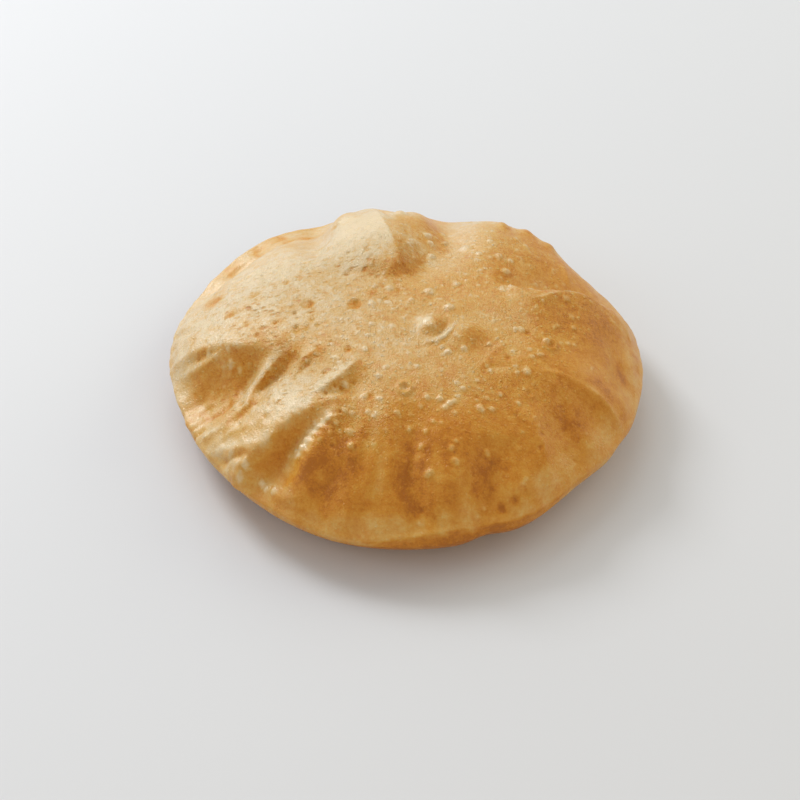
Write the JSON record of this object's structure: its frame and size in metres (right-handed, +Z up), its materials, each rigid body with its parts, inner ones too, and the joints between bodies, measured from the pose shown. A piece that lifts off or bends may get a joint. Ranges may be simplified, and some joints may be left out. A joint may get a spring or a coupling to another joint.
{
  "type": "puri",
  "caption": "Puffed round of deep-fried flatbread dough: an uneven domed cushion with radial folds, a thin crimped rim and a small flat spot to rest on.",
  "frame": {"origin": "centre of the outline, at the height of the surface the bread rests on", "axes": "+Z up through the dome; the side that faces the viewer in the picture is -Y, the viewer's right is +X, and the tallest lobe is towards +Y"},
  "size_m": [0.1396, 0.1378, 0.0396],
  "materials": {
    "fried_dough": "satin, lightly oiled"
  },
  "bodies": {
    "root": {"puri": "fried_dough"}
  },
  "joints": []
}
